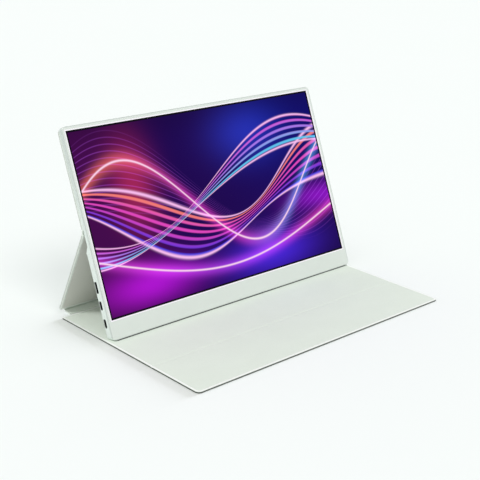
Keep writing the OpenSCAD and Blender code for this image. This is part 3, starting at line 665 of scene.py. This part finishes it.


# the last number sets how strongly each piece's rim shows its painted shade and highlight
flap_pieces = [
    flat_piece("flap_front_cover", flap, flap_w, -crease_half, -front_end, flap_t, corner_r,
               "flap_front", ("flap_front_skin", "flap_front_board", "flap_front_lining"), 1),
    flat_piece("flap_rear_cover", flap, flap_w, crease_half, rear_end, flap_t, small_r,
               "flap_rear", ("flap_rear_skin", "flap_rear_board", "flap_rear_lining"), 1),
]
strip_piece("spine_cover", [(spine, spine_gap, flap_t), (spine, spine_len - spine_gap, flap_t)], spine_w,
            "spine", ("spine_skin", "spine_board", "spine_lining"))
strut_piece = flat_piece("strut_cover", strut, back_w, strut_len - crease_half, strut_gap, strut_t, small_r,
                         "strut", ("strut_skin", "strut_board", "strut_lining"), 0.35, shaded_strut_cloth)
flat_piece("back_panel_cover", panel, back_w, crease_half, panel_end, panel_t, corner_r,
           "monitor", ("back_panel_skin", "back_panel_board", "back_panel_lining"), 0.3)

# how far a crease's strip reaches under the next stretch, how much thinner the flap's crease is in its
# middle, and how far the uppermost crease bulges inwards
tuck = 1.2*MM
flap_dent = 0.35*MM
upper_dip = 1.0*MM
flap_pieces.append(crease_piece(
    "flap_crease_strip", bend(flap, -crease_half, flap, crease_half, 16), flap_w,
    (flap_t, flap_t - flap_dent, flap_t), 1
))
crease_piece("spine_front_crease", bend(flap, rear_end - tuck, spine, spine_gap, 12), spine_w,
             (strip_t, strip_t, flap_t))
crease_piece("spine_back_crease", bend(spine, spine_len - spine_gap, strut, strut_gap + tuck, 20), spine_w,
             (flap_t, strip_t, strip_t))
crease_piece("strut_panel_crease",
             bend(strut, strut_len - crease_half, panel, crease_half, 20, upper_dip), back_w,
             (strut_t, strip_t, panel_t))

# ---- the monitor's shell ----


def soften(name):
    """Small rounds on a CAD shell's edges."""
    node = frame["nodes"][name]
    weld = node.modifiers.new("weld", "WELD")
    weld.merge_threshold = 0.002*MM
    bevel = node.modifiers.new("edges", "BEVEL")
    bevel.width = edge_round
    bevel.segments = 3
    bevel.limit_method = "ANGLE"
    bevel.angle_limit = math.radians(40)
    bevel.harden_normals = True


soften("front_bezel")
soften("rear_case")


def on_monitor(x, depth, height):
    """A point given across the screen, behind its front face and above its foot."""
    return Vector((monitor_x + x, 0, 0)) + foot_at + depth_axis*depth + up_axis*height


def opening_lip():
    """A narrow rounded frame in the bevel of the opening, mitred at its corners."""
    # outwards from the opening's edge, and depth behind the front face
    profile = [(0.0, 0.85), (0.0, 0.35), (0.12, 0.12), (0.4, -0.02), (0.95, -0.06), (1.15, -0.03), (1.2, 0.2)]
    points, faces = [], []
    low, high = chin_h, chin_h + opening_h
    for out, depth in profile:
        x, o = opening_w/2 + out*MM, out*MM
        corners = [(-x, low - o), (x, low - o), (x, high + o), (-x, high + o)]
        points += [(on_monitor(cx, depth*MM, cz), 0) for cx, cz in corners]
    count = len(profile)
    for row in range(count):
        for n in range(4):
            m, near, far = (n + 1) % 4, row*4, (row + 1) % count*4
            faces.append(((near + n, near + m, far + m, far + n), 0))
    return points, faces


def chin_shade_strip():
    """A slim dark strip in the wedge between the screen's lower edge and the flap, standing in for the shade
    there.
    """
    depths = [0.15, 0.5, 1.2, 2.2, 3.2]
    slack = 0.1*MM
    sunk = 0.05*MM
    ends = opening_w/2 - 2*MM
    taper = 1*MM
    points, faces, rows = [], [], []
    for x in (-ends, -ends + taper, ends - taper, ends):
        shy = 0.4*MM if abs(x) == ends else 0
        upper = [on_monitor(x, d*MM + shy, sunk) for d in depths]
        lower = [Vector((p.x, p.y, flap_t + slack)) for p in reversed(upper)]
        rows.append(range(len(points), len(points) + 2*len(depths)))
        points += [(p, 0) for p in upper + lower]
    for near, far in zip(rows, rows[1:]):
        for n in range(len(near)):
            m = (n + 1) % len(near)
            faces.append(((near[n], near[m], far[m], far[n]), 0))
    faces += [(tuple(rows[0]), 0), (tuple(rows[-1]), 0)]
    return points, faces


def socket_shade_rims():
    """Thin black rims round the mouths of the three sockets in the left side, painted shade that darkens the
    mouths.
    """
    points, faces = [], []
    face_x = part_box("rear_case")[0].x
    # round each mouth: how much wider than it and how far out of the case, in millimetres
    rim = ((0, 0), (0, 0.05), (0.32, 0.05), (0.38, 0))
    turns = [math.radians(a) for a in range(0, 360, 15)]
    count = len(turns)
    for height, (length, thick, radius) in sockets:
        start = len(points)
        for wider, proud in rim:
            r = (radius + wider)*MM
            across, along = (thick/2 + wider)*MM - r, (length/2 + wider)*MM - r
            for a in turns:
                depth = math.copysign(across, math.cos(a)) + r*math.cos(a)
                up = math.copysign(along, math.sin(a)) + r*math.sin(a)
                at = on_monitor(0, socket_depth + depth, height*MM + up)
                points.append((Vector((face_x - proud*MM, at.y, at.z)), 0))
        for row in range(len(rim)):
            near, far = start + row*count, start + (row + 1) % len(rim)*count
            for n in range(count):
                m = (n + 1) % count
                faces.append(((near + n, near + m, far + m, far + n), 0))
    return points, faces


# painted shade: black rims that darken the sockets' mouths
finish_piece("socket_shade_rims", socket_shade_rims(), (finishes["socket_steel"],), "monitor")
# painted shade: a dark strip put where the screen's lower edge shades the flap
finish_piece("chin_shade_strip", chin_shade_strip(), (finishes["foam_tape"],), "monitor")

# painted highlight: the lip is near white and glows faintly, standing in for light caught by the opening's
# bevel
lip_finish = Finish("glowing_lip_highlight", 0.25, Emission_Strength=0.16, Coat_Weight=0.5)
lip_glow_tint = lip_finish.mix(lip_finish.noise(25*MM), linear(250, 238, 252), linear(253, 250, 254))
lip_finish.colour(lip_glow_tint)
lip_finish.tree.links.new(lip_glow_tint, lip_finish.shader.inputs["Emission Color"])
lip_finish.bump(lip_finish.noise(0.3*MM), 0.004*MM)
finish_piece("opening_lip", opening_lip(), (lip_finish.material,), "monitor")

# ---- floor, light and camera ----

desk_white = linear(236, 238, 235)
floor_finish = Finish("white_desk", 0.9, Specular_IOR_Level=0, Emission_Color=desk_white,
                      Emission_Strength=0.045)
floor_finish.colour(floor_finish.mix(floor_finish.noise(400*MM, 1), linear(235, 238, 234), desk_white))
floor_mesh = bpy.data.meshes.new("desk")
desk_reach = 12
corners = [(x*desk_reach, y*desk_reach, 0) for x, y in ((-1, -1), (1, -1), (1, 1), (-1, 1))]
floor_mesh.from_pydata(corners, [], [(0, 1, 2, 3)])
floor_mesh.materials.append(floor_finish.material)
desk = bpy.data.objects.new("desk", floor_mesh)
bpy.context.collection.objects.link(desk)

sky_level = 0.72
scene = bpy.context.scene
scene.view_settings.view_transform = "Standard"
world = bpy.data.worlds.new("studio")
world.use_nodes = True
sky = world.node_tree.nodes["Background"]
sky.inputs["Color"].default_value = (0.978, 1, 0.99, 1)
# the light's level, and 1 where the sky itself is seen or mirrored
seen = world.node_tree.nodes.new("ShaderNodeLightPath").outputs
shown = Number(world.node_tree, seen["Is Camera Ray"]) + Number(world.node_tree, seen["Is Glossy Ray"])
shown = shown + Number(world.node_tree, seen["Is Transmission Ray"])
level = shown.op("MINIMUM", 1)*(1 - sky_level) + sky_level
world.node_tree.links.new(level.socket, sky.inputs["Strength"])
scene.world = world


def towards(azimuth, elevation):
    """The direction from the object to a lamp or camera, in degrees from the front to the right and up."""
    a, e = math.radians(azimuth), math.radians(elevation)
    return Vector((math.sin(a)*math.cos(e), -math.cos(a)*math.cos(e), math.sin(e)))


def sun(name, azimuth, elevation, strength, softness):
    """A soft lamp from one direction; softness is its width in degrees."""
    data = bpy.data.lights.new(name, "SUN")
    data.energy = strength
    data.angle = math.radians(softness)
    lamp = bpy.data.objects.new(name, data)
    lamp.rotation_mode = "QUATERNION"
    lamp.rotation_quaternion = towards(azimuth, elevation).to_track_quat("Z", "Y")
    bpy.context.collection.objects.link(lamp)
    return lamp


key = sun("key", -90, 58, 1.04, 12)
# the key light leaves out the desk, whose soft shade comes from the sky and the two desk lamps
lit_by_key = bpy.data.collections.new("lit_by_key")
lit_by_key.objects.link(desk)
lit_by_key.collection_objects[0].light_linking.link_state = "EXCLUDE"
key.light_linking.receiver_collection = lit_by_key


def desk_lamp(name, azimuth, elevation, strength, softness, blockers, tint=(1, 1, 1)):
    """A lamp that lights the desk alone, so that some pieces throw a soft shade on it."""
    lamp = sun(name, azimuth, elevation, strength, softness)
    lamp.data.color = tint
    for role, members in (("receiver", [desk]), ("blocker", blockers)):
        group = bpy.data.collections.new(name + "_" + role)
        for member in members:
            group.objects.link(member)
        setattr(lamp.light_linking, role + "_collection", group)


desk_lamp("rake", 90, 5.5, 6.3, 13, flap_pieces, (0.98, 1, 1.14))
desk_lamp("front", -14, 49, 0.85, 26, [strut_piece, frame["nodes"]["rear_case"]])

camera_at = Vector((-770.71, -790.34, 470.97))*MM
camera_roll = math.radians(1.89)
back = towards(-43.435, 19.588)
right = (-back).cross(Vector((0, 0, 1))).normalized()
up = right.cross(-back)
turned_right = right*math.cos(camera_roll) + up*math.sin(camera_roll)
turned_up = up*math.cos(camera_roll) - right*math.sin(camera_roll)
camera_data = bpy.data.cameras.new("camera")
camera_data.sensor_width = 36
camera_data.lens = 81.53
camera_data.clip_end = 100
camera = bpy.data.objects.new("camera", camera_data)
turn = Matrix((turned_right, turned_up, back)).transposed().to_4x4()
camera.matrix_world = Matrix.Translation(camera_at) @ turn
bpy.context.collection.objects.link(camera)
scene.camera = camera
